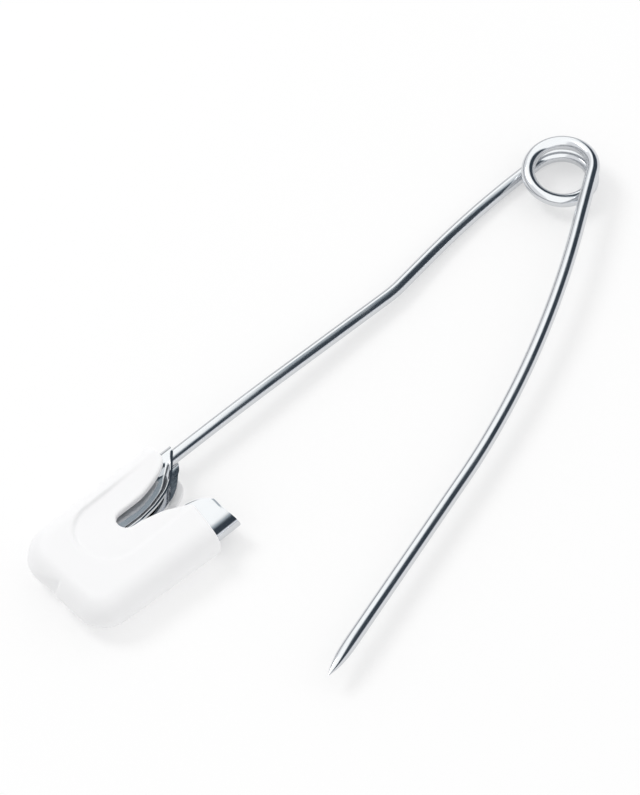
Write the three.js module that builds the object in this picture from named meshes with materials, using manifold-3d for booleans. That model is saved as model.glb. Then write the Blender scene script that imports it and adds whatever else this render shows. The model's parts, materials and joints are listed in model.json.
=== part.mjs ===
// Safety pin with a folded metal clasp and a sliding plastic lock sleeve, lying flat and sprung open.
// Millimetres, +Z up. +X runs from the coil to the head, +Y from the fixed leg towards the pin arm. Pieces
// are made with X and Y counted from the coil's axis and Z from the table, and the whole pin is then moved so
// that the origin is on the flat underside of the sleeve, level with the clasp's inner end.

import * as THREE from "three";
import { mergeVertices } from "three/addons/utils/BufferGeometryUtils.js";
import Module from "manifold-3d";

// Wire: one length of hard steel wire makes the fixed leg, the coil and the pin arm.
const wireDiameter = 1.1;
const wireRadius = wireDiameter / 2;
// Clear space left where the wire is parted into its three pieces, end face to end face.
const partingGap = 0.05;

// Coil: the radius is to the middle of the wire. The turns climb evenly, with level ends.
const coilRadius = 2.62;
const coilClearSpace = 0.53;
const coilEase = THREE.MathUtils.degToRad(30);

// Fixed leg: it leaves the coil along X, bows in a little, bends once and runs straight into the clasp.
const legLength = 41.35;
const legAside = 1.13;
const legBendPlace = 17.66;
const legBendRun = 1.6;
const legBowRun = 10.4;
const legBendAngle = THREE.MathUtils.degToRad(8.5);
const legTailShort = 1.2;
const legRampRun = 9;
const legRampMargin = 3;

// Pin arm: straight off the coil, then one long bow, then straight to a ground point.
const armAngle = THREE.MathUtils.degToRad(33);
const armRootRun = 5.7;
const armBowLength = 25.7;
const armBowAngle = THREE.MathUtils.degToRad(16.8);
const armTipRun = 21.1;
const pointLength = 4.2;
const tipRadius = 0.03;
const pointRoundness = 3;

// Clasp: sheet metal folded once round the leg and once round the place where the arm hooks in.
const sheetThickness = 0.25;
const wirePlay = 0.07;
const claspSpan = 7.3;
const claspLength = 10.8;
const throatWidth = 1.5;
const throatDepth = 8.6;
const backSheetLead = 0.5;
// The throat's two sides: shares of the clasp's length along the head, and of its span across it.
const tongueShares = [
  [0, 0.048], [0.105, 0.122], [0.23, 0.242], [0.295, 0.301], [0.374, 0.349], [0.459, 0.38], [0.552, 0.393],
];
const shroudShares = [[0.269, 0.6], [0.17, 0.641], [0.131, 0.729], [0.105, 0.864], [0.111, 1.03]];

// Lock sleeve: moulded over the clasp, and slides along it towards the coil to lock the pin.
const sleeveWall = 0.98;
const sleevePlay = 0.08;
const sleeveTravel = 2.5;
const sleeveEndWall = 1.9;
const sleeveEndPlay = 0.3;
const sleeveEdgeFlat = 0.3;
const sleeveSideTaper = THREE.MathUtils.degToRad(2.6);
const sleeveSideWall = 0.8;
const sleeveWireCorner = 3.1;
const sleeveArmCorner = 2.4;
const notchDepth = 8.5;
const notchRound = 0.42;
const padDepth = 0.28;
const padRadius = 2.8;
const padSide = 0.35;
const padReach = 13.1;
const dimpleDepth = 0.5;
const dimpleHalfWidth = 1.4;
const dimpleAside = 1.1;
// The edges of the notch, front and back: shares of its depth along the head and of the clasp's span across.
const rightLobeShares = [
  [0.94, 0.436], [0.8, 0.489], [0.607, 0.557], [0.489, 0.626], [0.373, 0.7], [0.37, 0.78], [0.41, 1.05],
];
const frontLeftLobeShares = [
  [0.2, -0.02], [0.212, 0.04], [0.25, 0.085], [0.41, 0.174], [0.687, 0.233], [0.94, 0.33],
];
const backLeftLobeShares = [
  [0.1, 0.1], [0.125, 0.25], [0.2, 0.33], [0.31, 0.37], [0.4, 0.33], [0.7, 0.3], [0.94, 0.34],
];

// Cutting tools run past the faces that they cut by this much, and two cuts that meet overlap by the seam.
// Vertices nearer than the weld are one.
const overrun = 1;
const seam = 0.01;
const weld = 1e-4;

// Facets
const wireSides = 14;
const legSteps = 44;
const armSteps = 48;
const pointSteps = 10;
const coilStepsPerTurn = 40;
const roundSegments = 10;
const measuringFineness = 8;

// Heights and places that follow from the sizes above
const legTail = claspLength - legTailShort;
const claspInner = wireRadius + wirePlay;
const claspOuter = claspInner + sheetThickness;
const sleeveHalf = claspOuter + sleeveWall;
const headHeight = sleeveHalf;
const sleeveFarEnd = claspLength + sleeveTravel + sleeveEndPlay + sleeveEndWall;
const coilWrap = 3 * Math.PI - armAngle;
const coilClimb = (wireDiameter + coilClearSpace) / (2 * Math.PI - coilEase / 2);
const coilTopHeight = wireRadius + coilClimb * (coilWrap - coilEase);

const steel = new THREE.MeshStandardMaterial({ color: "#c6c9cd", roughness: 0.2, metalness: 1 });
const sheet = new THREE.MeshStandardMaterial({ color: "#ccd0d4", roughness: 0.14, metalness: 1 });
const plastic = new THREE.MeshStandardMaterial({ color: "#f3f3f2", roughness: 0.35, metalness: 0 });

const wasm = await Module();
wasm.setup();

function solidOf(geometry) {
  const bare = geometry.clone();
  bare.deleteAttribute("normal");
  bare.deleteAttribute("uv");
  const merged = mergeVertices(bare, weld);
  return new wasm.Manifold(
    new wasm.Mesh({
      numProp: 3,
      vertProperties: new Float32Array(merged.attributes.position.array),
      triVerts: new Uint32Array(merged.index.array),
    }),
  );
}

function geometryOf(solid) {
  const { vertProperties, triVerts } = solid.getMesh();
  const geometry = new THREE.BufferGeometry();
  geometry.setAttribute("position", new THREE.BufferAttribute(new Float32Array(vertProperties), 3));
  geometry.setIndex(new THREE.BufferAttribute(new Uint32Array(triVerts), 1));
  return geometry;
}

// How far a thing has moved at x when its slope grows evenly from 0 at `from` to 1 at `to` and stays there.
function easedRun(x, from, to) {
  const inside = THREE.MathUtils.clamp(x - from, 0, to - from);
  return inside ** 2 / (2 * (to - from)) + Math.max(0, x - to);
}

// The coil's centre line: level ends with an even climb between them, plus a straight run at each end.
class CoilCurve extends THREE.Curve {
  getPoint(share) {
    const run = wireDiameter;
    const turned = coilRadius * coilWrap;
    const along = share * (turned + 2 * run);
    const before = Math.min(0, along - run);
    const after = Math.max(0, along - run - turned);
    const wrap = THREE.MathUtils.clamp((along - run) / coilRadius, 0, coilWrap);
    const angle = -Math.PI / 2 - wrap;
    const onward = before + after;
    const climb = easedRun(wrap, 0, coilEase) - easedRun(wrap, coilWrap - coilEase, coilWrap);
    return new THREE.Vector3(
      coilRadius * Math.cos(angle) + onward * Math.sin(angle),
      coilRadius * Math.sin(angle) - onward * Math.cos(angle),
      wireRadius + coilClimb * climb,
    );
  }
}

// The leg's centre line from its meeting with the coil to its tail inside the clasp.
class LegCurve extends THREE.Curve {
  getPoint(share) {
    const start = wireDiameter + partingGap;
    const x = start + share * (legLength + legTail - start);
    const slope = Math.tan(legBendAngle);
    const bowPlace = legBendPlace - (coilRadius - legAside) / slope;
    const aside =
      easedRun(x, bowPlace - legBowRun / 2, bowPlace + legBowRun / 2) -
      easedRun(x, legBendPlace - legBendRun / 2, legBendPlace + legBendRun / 2);
    const rampStart = start + legRampMargin;
    const rampEnd = legLength - legRampMargin;
    const climb =
      easedRun(x, rampStart, rampStart + legRampRun) - easedRun(x, rampEnd - legRampRun, rampEnd);
    const rise = (headHeight - wireRadius) / (rampEnd - legRampRun - rampStart);
    return new THREE.Vector3(x, slope * aside - coilRadius, wireRadius + rise * climb);
  }
}

// The arm's centre line from its meeting with the coil to the tip of its point.
class ArmCurve extends THREE.Curve {
  getPoint(share) {
    const start = wireDiameter + partingGap;
    const whole = armRootRun + armBowLength + armTipRun;
    const along = start + share * (whole - start);
    const bowRadius = armBowLength / armBowAngle;
    const bent = THREE.MathUtils.clamp((along - armRootRun) / bowRadius, 0, armBowAngle);
    const heading = armAngle - bent;
    const before = Math.min(along, armRootRun);
    const after = Math.max(0, along - armRootRun - armBowLength);
    const drop = THREE.MathUtils.smoothstep(along, armRootRun, armRootRun + armBowLength);
    return new THREE.Vector3(
      -coilRadius * Math.sin(armAngle) +
        before * Math.cos(armAngle) +
        bowRadius * (Math.sin(armAngle) - Math.sin(heading)) +
        after * Math.cos(heading),
      coilRadius * Math.cos(armAngle) +
        before * Math.sin(armAngle) +
        bowRadius * (Math.cos(heading) - Math.cos(armAngle)) +
        after * Math.sin(heading),
      THREE.MathUtils.lerp(coilTopHeight, headHeight, drop),
    );
  }
}

function wireAlong(curve, steps) {
  const section = new THREE.Shape().absarc(0, 0, wireRadius, 0, 2 * Math.PI);
  return new THREE.ExtrudeGeometry(section, { steps, extrudePath: curve, curveSegments: wireSides / 2 });
}

// The least clear space between the coil's turns, from points of its centre line half a turn apart or more.
function leastCoilSpace(curve, steps) {
  const points = curve.getSpacedPoints(steps);
  const stepLength = curve.getLength() / steps;
  const halfTurn = Math.ceil((Math.PI * coilRadius) / stepLength);
  let least = Infinity;
  for (let i = 0; i < points.length; i++) {
    for (let j = i + halfTurn; j < points.length; j++) {
      least = Math.min(least, points[i].distanceTo(points[j]) - wireDiameter);
    }
  }
  return least;
}

// One unbroken tube of rings along a centre line, closed by a flat fan at each end.
function tubeOfRings(curve, places, radiusAt) {
  const steps = places.length - 1;
  const positions = [];
  const index = [];
  const side = new THREE.Vector3(0, 0, 1);
  for (let i = 0; i <= steps; i++) {
    const centre = curve.getPointAt(places[i]);
    const tangent = curve.getTangentAt(places[i]);
    const across = side.clone().cross(tangent).normalize();
    const up = tangent.clone().cross(across);
    for (let k = 0; k < wireSides; k++) {
      const angle = (2 * Math.PI * k) / wireSides;
      const out = centre.clone();
      out.addScaledVector(up, -radiusAt(places[i]) * Math.cos(angle));
      out.addScaledVector(across, radiusAt(places[i]) * Math.sin(angle));
      positions.push(out.x, out.y, out.z);
    }
  }
  for (let here = 0; here < steps * wireSides; here += wireSides) {
    const ahead = here + wireSides;
    for (let k = 0; k < wireSides; k++) {
      const next = (k + 1) % wireSides;
      index.push(here + k, here + next, ahead + next, here + k, ahead + next, ahead + k);
    }
  }
  const last = steps * wireSides;
  for (let k = 1; k < wireSides - 1; k++) {
    index.push(0, k + 1, k, last, last + k, last + k + 1);
  }
  const geometry = new THREE.BufferGeometry();
  geometry.setAttribute("position", new THREE.Float32BufferAttribute(positions, 3));
  geometry.setIndex(index);
  return geometry;
}

function evenPlaces(steps) {
  return Array.from({ length: steps + 1 }, (_, i) => i / steps);
}

function springCoil() {
  const curve = new CoilCurve();
  const turns = coilWrap / (2 * Math.PI) + wireDiameter / (Math.PI * coilRadius);
  const steps = Math.round(coilStepsPerTurn * turns);
  const least = leastCoilSpace(curve, measuringFineness * steps);
  console.log(`spring_coil: least space between turns ${least.toFixed(3)} mm`);
  return tubeOfRings(curve, evenPlaces(steps), () => wireRadius);
}

function fixedLeg() {
  return wireAlong(new LegCurve(), legSteps);
}

// The arm's wire is ground to a slightly rounded cone over its last stretch.
function pinArm() {
  const curve = new ArmCurve();
  const length = curve.getLength();
  const pointStart = 1 - pointLength / length;
  const places = [
    ...evenPlaces(armSteps).map((share) => share * pointStart),
    ...evenPlaces(pointSteps).slice(1).map((share) => pointStart + share * (1 - pointStart)),
  ];
  const radiusAt = (place) => {
    const ground = Math.max(0, place - pointStart) / (1 - pointStart);
    return THREE.MathUtils.lerp(wireRadius, tipRadius, ground ** pointRoundness);
  };
  return tubeOfRings(curve, places, radiusAt);
}

// A long round-ended outline in Y and Z round the leg's axis and the fold's axis.
function roundEnded(radius) {
  const outline = new THREE.Shape();
  outline.absarc(claspSpan, 0, radius, -Math.PI / 2, Math.PI / 2);
  outline.absarc(0, 0, radius, Math.PI / 2, (3 * Math.PI) / 2);
  outline.closePath();
  return outline;
}

// Turns a shape drawn across the head into a solid that runs along the head from `from` to `to`.
function alongHead(shape, from, to) {
  const geometry = new THREE.ExtrudeGeometry(shape, {
    depth: to - from,
    bevelEnabled: false,
    curveSegments: roundSegments / 2,
  });
  const acrossToAlong = new THREE.Matrix4().makeBasis(
    new THREE.Vector3(0, 1, 0),
    new THREE.Vector3(0, 0, 1),
    new THREE.Vector3(1, 0, 0),
  );
  geometry.applyMatrix4(acrossToAlong);
  geometry.translate(from, 0, 0);
  return geometry;
}

// A solid with a plan outline, from height `from` to `to` over the head's middle plane.
function upright(shape, from, to) {
  const geometry = new THREE.ExtrudeGeometry(shape, {
    depth: to - from,
    bevelEnabled: false,
    curveSegments: roundSegments,
  });
  geometry.translate(0, 0, from);
  return geometry;
}

// In the head, X runs from the clasp's mouth along the leg's axis, Y towards the arm and Z from mid-plane.
function placeHead(geometry) {
  geometry.translate(legLength, -legAside, headHeight);
  return geometry;
}

// The throat where the arm's point goes in: a curved tongue on the leg's side, a hooked shroud on the other.
function throatOutline() {
  const at = ([along, across]) => new THREE.Vector2(along * claspLength, across * claspSpan);
  const tongue = tongueShares.map(at);
  const shroud = shroudShares.map(at);
  const leftSide = tongue.at(-1).y;
  const bottom = throatDepth - throatWidth / 2;
  const outer = claspSpan + claspOuter + overrun;
  const outline = new THREE.Shape();
  outline.moveTo(-overrun, tongue[0].y);
  outline.lineTo(tongue[0].x, tongue[0].y);
  outline.splineThru(tongue.slice(1));
  outline.lineTo(bottom, leftSide);
  outline.absarc(bottom, leftSide + throatWidth / 2, throatWidth / 2, -Math.PI / 2, Math.PI / 2);
  outline.lineTo(shroud[0].x, shroud[0].y);
  outline.splineThru(shroud.slice(1));
  outline.lineTo(shroud.at(-1).x, outer);
  outline.lineTo(-overrun, outer);
  outline.closePath();
  return outline;
}

function metalClasp() {
  const skin = solidOf(alongHead(roundEnded(claspOuter), 0, claspLength));
  const hollow = solidOf(alongHead(roundEnded(claspInner), -overrun, claspLength + overrun));
  const throat = throatOutline();
  const frontCut = solidOf(upright(throat, 0, claspOuter + overrun));
  const backCut = upright(throat, -claspOuter - overrun, seam);
  backCut.translate(-backSheetLead, 0, 0);
  const clasp = skin.subtract(hollow).subtract(frontCut).subtract(solidOf(backCut));
  return placeHead(geometryOf(clasp));
}

// The sleeve's plan outline before the mouth is cut: it narrows a little towards its far end.
function sleeveOutline() {
  const mouth = -sleeveTravel;
  const wireSide = -sleeveHalf;
  const armSide = (along) => claspSpan + claspOuter + sleeveSideWall - along * Math.tan(sleeveSideTaper);
  const cornerEnd = armSide(sleeveFarEnd);
  const outline = new THREE.Shape();
  outline.moveTo(mouth, wireSide);
  outline.lineTo(sleeveFarEnd - sleeveWireCorner, wireSide);
  outline.quadraticCurveTo(sleeveFarEnd, wireSide, sleeveFarEnd, wireSide + sleeveWireCorner);
  outline.lineTo(sleeveFarEnd, cornerEnd - sleeveArmCorner);
  outline.quadraticCurveTo(
    sleeveFarEnd, cornerEnd, sleeveFarEnd - sleeveArmCorner, armSide(sleeveFarEnd - sleeveArmCorner),
  );
  outline.lineTo(mouth, armSide(mouth));
  outline.closePath();
  return outline;
}

function sleeveBlank() {
  const edge = sleeveHalf - sleeveEdgeFlat / 2;
  const geometry = new THREE.ExtrudeGeometry(sleeveOutline(), {
    depth: sleeveEdgeFlat,
    bevelThickness: edge,
    bevelSize: edge,
    bevelOffset: -edge,
    bevelSegments: roundSegments,
    curveSegments: roundSegments,
  });
  geometry.translate(0, 0, -sleeveEdgeFlat / 2);
  return solidOf(geometry);
}

// What is cut off the sleeve's mouth, seen from above: it leaves a lobe on each side of a notch.
function mouthOutline(leftShares, rightShares) {
  const at = ([along, across]) => new THREE.Vector2(along * notchDepth, across * claspSpan);
  const left = leftShares.map(at);
  const right = rightShares.map(at);
  const start = -sleeveTravel - overrun;
  const side = sleeveHalf + overrun;
  const outline = new THREE.Shape();
  outline.moveTo(start, -side);
  outline.lineTo(left[0].x, -side);
  outline.lineTo(left[0].x, left[0].y);
  outline.splineThru(left.slice(1));
  const middle = (left.at(-1).y + right[0].y) / 2;
  outline.quadraticCurveTo(notchDepth - notchRound / 4, left.at(-1).y, notchDepth, middle);
  outline.quadraticCurveTo(notchDepth - notchRound / 4, right[0].y, right[0].x, right[0].y);
  outline.splineThru(right.slice(1));
  outline.lineTo(right.at(-1).x, claspSpan + side + sleeveWall);
  outline.lineTo(start, claspSpan + side + sleeveWall);
  outline.closePath();
  return outline;
}

function thumbPad() {
  const low = -padSide;
  const high = low + 2 * padRadius;
  const round = padReach - padRadius;
  const outline = new THREE.Shape();
  outline.moveTo(-sleeveTravel - overrun, low);
  outline.lineTo(round, low);
  outline.absarc(round, (low + high) / 2, padRadius, -Math.PI / 2, Math.PI / 2);
  outline.lineTo(-sleeveTravel - overrun, high);
  outline.closePath();
  return solidOf(upright(outline, sleeveHalf - padDepth, sleeveHalf + overrun));
}

function endDimple() {
  const radius = (dimpleHalfWidth ** 2 + dimpleDepth ** 2) / (2 * dimpleDepth);
  const outline = new THREE.Shape().absarc(
    sleeveFarEnd - dimpleDepth + radius, dimpleAside, radius, 0, 2 * Math.PI,
  );
  return solidOf(upright(outline, -sleeveHalf - overrun, sleeveHalf + overrun));
}

function lockSleeve() {
  const cavityEnd = claspLength + sleeveTravel + sleeveEndPlay;
  const cavity = solidOf(alongHead(roundEnded(claspOuter + sleevePlay), -sleeveTravel - overrun, cavityEnd));
  const frontMouth = upright(mouthOutline(frontLeftLobeShares, rightLobeShares), 0, sleeveHalf + overrun);
  const backMouth = upright(mouthOutline(backLeftLobeShares, rightLobeShares), -sleeveHalf - overrun, seam);
  const sleeve = sleeveBlank()
    .subtract(cavity)
    .subtract(solidOf(frontMouth))
    .subtract(solidOf(backMouth))
    .subtract(thumbPad())
    .subtract(endDimple());
  return placeHead(geometryOf(sleeve));
}

const pin = new THREE.Group();
for (const [name, geometry, material] of [
  ["fixed_leg", fixedLeg(), steel],
  ["spring_coil", springCoil(), steel],
  ["pin_arm", pinArm(), steel],
  ["metal_clasp", metalClasp(), sheet],
  ["lock_sleeve", lockSleeve(), plastic],
]) {
  const mesh = new THREE.Mesh(geometry, material);
  mesh.name = name;
  pin.add(mesh);
}
pin.position.set(-legLength - claspLength, legAside - claspSpan / 2, 0);

export default pin;
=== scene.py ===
"""A safety pin, sprung open and lying flat.

One bright wire is wound into a coil and ground to a point, a folded metal clasp holds its blunt end, and a
white moulded sleeve slides over the clasp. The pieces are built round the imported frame, in metres.
"""

import json
import math

import bpy
import numpy as np
from bpy.props import FloatProperty, FloatVectorProperty, PointerProperty
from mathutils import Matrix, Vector


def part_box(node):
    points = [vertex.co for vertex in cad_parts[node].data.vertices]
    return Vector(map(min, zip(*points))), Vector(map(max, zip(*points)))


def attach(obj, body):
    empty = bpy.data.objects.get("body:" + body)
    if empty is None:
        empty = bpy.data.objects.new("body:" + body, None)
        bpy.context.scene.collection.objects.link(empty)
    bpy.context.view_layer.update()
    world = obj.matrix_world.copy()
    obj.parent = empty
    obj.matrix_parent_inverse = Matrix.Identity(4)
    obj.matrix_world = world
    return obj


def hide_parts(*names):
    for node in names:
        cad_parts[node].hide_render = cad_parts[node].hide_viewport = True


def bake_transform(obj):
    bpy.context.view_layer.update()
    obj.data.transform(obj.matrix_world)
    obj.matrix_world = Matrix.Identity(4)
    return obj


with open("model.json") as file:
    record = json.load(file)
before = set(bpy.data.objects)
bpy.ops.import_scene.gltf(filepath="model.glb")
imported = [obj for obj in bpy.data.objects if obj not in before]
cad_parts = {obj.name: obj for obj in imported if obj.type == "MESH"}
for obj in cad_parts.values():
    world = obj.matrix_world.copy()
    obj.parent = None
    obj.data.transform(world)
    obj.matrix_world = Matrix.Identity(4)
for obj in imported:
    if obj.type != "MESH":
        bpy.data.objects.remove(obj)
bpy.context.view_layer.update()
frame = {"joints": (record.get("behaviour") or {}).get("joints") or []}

bl_info = {
    "name": "Safety Pin",
    "version": (1, 0, 0),
    "blender": (4, 5, 0),
    "location": "3D Viewport > Sidebar > Safety Pin",
    "description": "Builds the wire, the clasp, the sleeve and the stage of a safety pin",
    "category": "Add Mesh",
}

MM = 0.001

# Wire. The coil's climb and the places of its two ends come from the frame.
PARTING_GAP = 0.05 * MM
COIL_EASE = math.radians(30)
LEG_BEND_RUN = 1.6 * MM
LEG_BOW_RUN = 10.4 * MM
LEG_TAIL_SHORT = 1.2 * MM
LEG_RAMP_RUN = 9 * MM
LEG_RAMP_MARGIN = 3 * MM
ARM_ROOT_RUN = 5.7 * MM
ARM_TIP_RUN = 21.1 * MM
TIP_RADIUS = 0.02 * MM
POINT_FULLNESS = 3.0
WIRE_SIDES = 48
WIRE_STEP = 0.16 * MM
WIRE_CREASE = math.radians(60)

# Clasp. Shares of its length along the head, and of its span across it.
THROAT_DEPTH = 8.6 * MM
THROAT_WIDTH = 1.27 * MM
BACK_SHEET_LEAD = 0.5 * MM
SHEET_EDGE_ROUND = 0.09 * MM
SHEET_EDGE_SEGMENTS = 3
SHEET_EDGE_ANGLE = math.radians(50)
TONGUE_SHARES = (
    (0.031, 0), (0.074, 0.066), (0.125, 0.145), (0.1625, 0.199), (0.22, 0.268),
    (0.287, 0.326), (0.35, 0.359), (0.442, 0.396), (0.527, 0.414), (0.596, 0.425),
)
SHROUD_SHARES = (
    (0.29, 0.599), (0.25, 0.614), (0.204, 0.64), (0.164, 0.68), (0.128, 0.745), (0.113, 0.83), (0.118, 1),
)
FAR_EDGE_SHARES = (0, 0.37, 0.425, 0.599, 0.66, 1)

# The hood is the taller part of the clasp, over the point.
HOOD_RISE = 0.3 * MM
HOOD_SPREAD = 0.03 * MM
HOOD_SHOULDER = 0.8 * MM
HOOD_SHOULDER_START = 0.68
HOOD_SIDE_SHARES = (0.45, 0.8)
HOOD_FADE_START = 4 * MM
HOOD_FADE_END = 9 * MM

# The tongue of the front sheet is pressed in, by a slope along the head and a tilt across it.
PRESS_SLOPE = 0.08
PRESS_TILT = 0.12
PRESS_END = 8.4 * MM
PRESS_FADE = (9.5 * MM, 12.5 * MM)
PRESS_BESIDE = (3.2 * MM, 4.3 * MM)
PRESS_MOST = 0.5 * MM
PRESS_SIDE = (0.25 * MM, 0.95 * MM)
RIM_REACH = (0.18 * MM, 0.65 * MM)

# The front sheet's cut edge curls down, and the back sheet flares towards the mouth.
CURL_DROP = 0.08 * MM
CURL_REACH = 0.2 * MM
CURL_LESS_ON_HOOD = 0.85
FLARE_SLOPE = 0.1
FLARE_END = 3.2 * MM

# Mesh of the clasp
FOLD_EDGE_TURN = (0, 0.6)
LEG_EDGE_TURN = (0.6, 1.05)
CLASP_ROWS = 60
CLASP_ROW_CROWDING = 1.3
CONTOUR_STEP = 0.12 * MM

# Sleeve. The notch's edges are shares of its depth along the head, and of the clasp's span across it.
SLEEVE_PLAY = 0.08 * MM
SLEEVE_TRAVEL = 2.5 * MM
SLEEVE_END_PLAY = 0.3 * MM
SLEEVE_END_WALL = 1.9 * MM
SLEEVE_FLAT = 0.3 * MM
SLEEVE_TAPER = math.radians(2.6)
SLEEVE_SIDE_WALL = 0.8 * MM
WIRE_CORNER = 3.0 * MM
ARM_CORNER = 2.4 * MM
NOTCH_DEPTH = 8.5 * MM
LIP_ROUND = 0.2 * MM
LIP_SPARE = LIP_ROUND / 3
INNER_ROUND = 0.15 * MM
HOLLOW_END_ROUND = 0.6 * MM
FACE_BLEND = 0.8 * MM

# The front face holds a thumb pad. The far end bulges a little, with a step in it and a crown before it.
PAD_DEPTH = 0.28 * MM
PAD_RADIUS = 2.8 * MM
PAD_SIDE = 0.35 * MM
PAD_REACH = 12.05 * MM
PAD_ROUND = 0.22 * MM
PAD_START = (2 * MM, 8 * MM)
END_BULGE = 0.2 * MM
END_STEP_SIDE = 3.1 * MM
END_STEP_DEPTH = 0.65 * MM
END_STEP_SLOPE = 0.25
END_STEP_ROUND = 0.25 * MM
CROWN_START = 11 * MM
CROWN_DROP = 0.35 * MM

# The notch leaves a lobe on each side of it. The left one differs between front and back.
RIGHT_LOBE_SHARES = (
    (0.892, 0.479), (0.812, 0.493), (0.607, 0.557), (0.489, 0.626), (0.373, 0.7), (0.37, 0.78), (0.41, 1.05),
)
FRONT_LEFT_LOBE_SHARES = (
    (0.2, -0.02), (0.212, 0.04), (0.25, 0.085), (0.36, 0.15), (0.48, 0.193), (0.62, 0.228), (0.765, 0.231),
    (0.892, 0.229),
)
BACK_LEFT_LOBE_SHARES = (
    (0.1, 0.1), (0.125, 0.25), (0.2, 0.33), (0.31, 0.37), (0.4, 0.33), (0.7, 0.26), (0.892, 0.229),
)

# Mesh of the sleeve
SKIN_STEP = 0.1 * MM
SKIN_PROBE = 0.01 * MM
SKIN_PASSES = 3
SKIN_MARGIN = 3 * SKIN_STEP
LEAST_STEEPNESS = 0.25

# Stage
CAMERA_CLIP = (10 * MM, 10000 * MM)
FLOOR_HALF = 600 * MM
FLOOR_DROP = 0.01 * MM
DOME_LEAN = 0.3
SOFTBOX_DISTANCE = 1000 * MM
SOFTBOX_RADIUS = 200 * MM
SOFTBOX_DIRECTION = Vector((0.194, -0.593, 0.781))

PIECES = ("leg_wire", "coil_wire", "arm_wire", "folded_clasp", "moulded_sleeve")
SHARED = {}


def linear(hex_colour):
    """The linear colour of an sRGB hex value."""
    parts = [int(hex_colour[i : i + 2], 16) / 255 for i in (1, 3, 5)]
    return [p / 12.92 if p <= 0.04045 else ((p + 0.055) / 1.055) ** 2.4 for p in parts]


def joint_place(name):
    """Where a joint's axis passes, in the row frame."""
    return Vector(next(joint["pos_m"] for joint in frame["joints"] if joint["name"] == name))


COIL_AXIS = joint_place("arm_swing")
ARM_ROOT = joint_place("arm_lift")
CLASP_LOW, CLASP_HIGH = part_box("metal_clasp")
CLASP_LENGTH = CLASP_HIGH.x - CLASP_LOW.x
CLASP_OUTER = (CLASP_HIGH.z - CLASP_LOW.z) / 2
HEAD_HEIGHT = (CLASP_HIGH.z + CLASP_LOW.z) / 2
LEG_LENGTH = CLASP_LOW.x - COIL_AXIS.x
SLEEVE_END = CLASP_LENGTH + SLEEVE_TRAVEL + SLEEVE_END_PLAY + SLEEVE_END_WALL


class PinWireSizes(bpy.types.PropertyGroup):
    """Sizes of the one length of steel wire"""

    diameter: FloatProperty(
        name="Diameter", description="Thickness of the wire", default=1.1 * MM, min=0.1 * MM, unit="LENGTH"
    )
    coil_radius: FloatProperty(
        name="Coil radius", description="From the coil's axis to the middle of the wire",
        default=2.62 * MM, min=1 * MM, unit="LENGTH",
    )
    leg_bend_place: FloatProperty(
        name="Leg bend", description="From the coil's axis to the bend in the fixed leg",
        default=17.66 * MM, min=1 * MM, unit="LENGTH",
    )
    leg_bend_angle: FloatProperty(
        name="Leg bend angle", description="How far the fixed leg turns at its bend",
        default=math.radians(8.5), subtype="ANGLE",
    )
    arm_angle: FloatProperty(
        name="Arm angle", description="Between the fixed leg and the arm where it leaves the coil",
        default=math.radians(33), subtype="ANGLE",
    )
    arm_bow_length: FloatProperty(
        name="Arm bow length", description="Length of the bowed stretch of the arm",
        default=25.7 * MM, min=1 * MM, unit="LENGTH",
    )
    arm_bow_angle: FloatProperty(
        name="Arm bow angle", description="How far the arm turns along its bow",
        default=math.radians(16.8), subtype="ANGLE",
    )
    point_length: FloatProperty(
        name="Point length", description="Length of the ground point",
        default=4.2 * MM, min=0.1 * MM, unit="LENGTH",
    )


class PinClaspSizes(bpy.types.PropertyGroup):
    """Sizes of the folded clasp"""

    sheet: FloatProperty(
        name="Sheet", description="Thickness of the sheet metal",
        default=0.25 * MM, min=0.05 * MM, unit="LENGTH",
    )
    span: FloatProperty(
        name="Span", description="From the leg's axis to the axis of the fold that holds the point",
        default=7.3 * MM, min=1 * MM, unit="LENGTH",
    )


class PinFinish(bpy.types.PropertyGroup):
    """Colours of the pin"""

    wire: FloatVectorProperty(
        name="Wire", description="Nickel plating on the wire",
        subtype="COLOR", default=linear("#D3D5D8"), min=0, max=1,
    )
    clasp: FloatVectorProperty(
        name="Clasp", description="Nickel plating on the clasp",
        subtype="COLOR", default=linear("#D3D5D8"), min=0, max=1,
    )
    sleeve: FloatVectorProperty(
        name="Sleeve", description="White plastic", subtype="COLOR", default=linear("#F9F9FA"), min=0, max=1
    )


class PinStage(bpy.types.PropertyGroup):
    """The camera and the lights"""

    azimuth: FloatProperty(
        name="Azimuth", description="Where the camera stands round the pin",
        default=math.radians(136.35), subtype="ANGLE",
    )
    elevation: FloatProperty(
        name="Elevation", description="How high the camera stands", default=math.radians(55), subtype="ANGLE"
    )
    distance: FloatProperty(
        name="Distance", description="From the camera to the pin",
        default=465 * MM, min=100 * MM, unit="LENGTH",
    )
    focal_length: FloatProperty(
        name="Focal length", description="Of the camera's lens, in millimetres", default=267, min=50
    )
    dome: FloatProperty(
        name="Dome light", description="Light that falls from all round on the floor", default=0.84, min=0
    )
    softbox: FloatProperty(
        name="Softbox light", description="What the softbox adds to it on the floor", default=0.16, min=0
    )
    floor_glow: FloatProperty(
        name="Floor glow", description="Share of the floor's light that comes from below",
        default=0.38, min=0, max=1,
    )


def add_node(tree, kind, inputs=None, **settings):
    """Adds a node, with its settings, and fills or links its inputs by name or number."""
    node = tree.nodes.new(kind)
    for name, value in settings.items():
        setattr(node, name, value)
    for key, value in (inputs or {}).items():
        socket = node.inputs[key]
        if isinstance(key, str):
            socket = next(each for each in node.inputs if each.name == key and each.enabled)
        if isinstance(value, bpy.types.NodeSocket):
            tree.links.new(value, socket)
        else:
            socket.default_value = value
    return node


def enabled_output(node):
    """The one output that a node of several kinds uses."""
    return next(each for each in node.outputs if each.enabled)


def new_material(name):
    """A material with an empty node tree."""
    material = bpy.data.materials.new(name)
    material.use_nodes = True
    material.node_tree.nodes.clear()
    return material, material.node_tree


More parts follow.
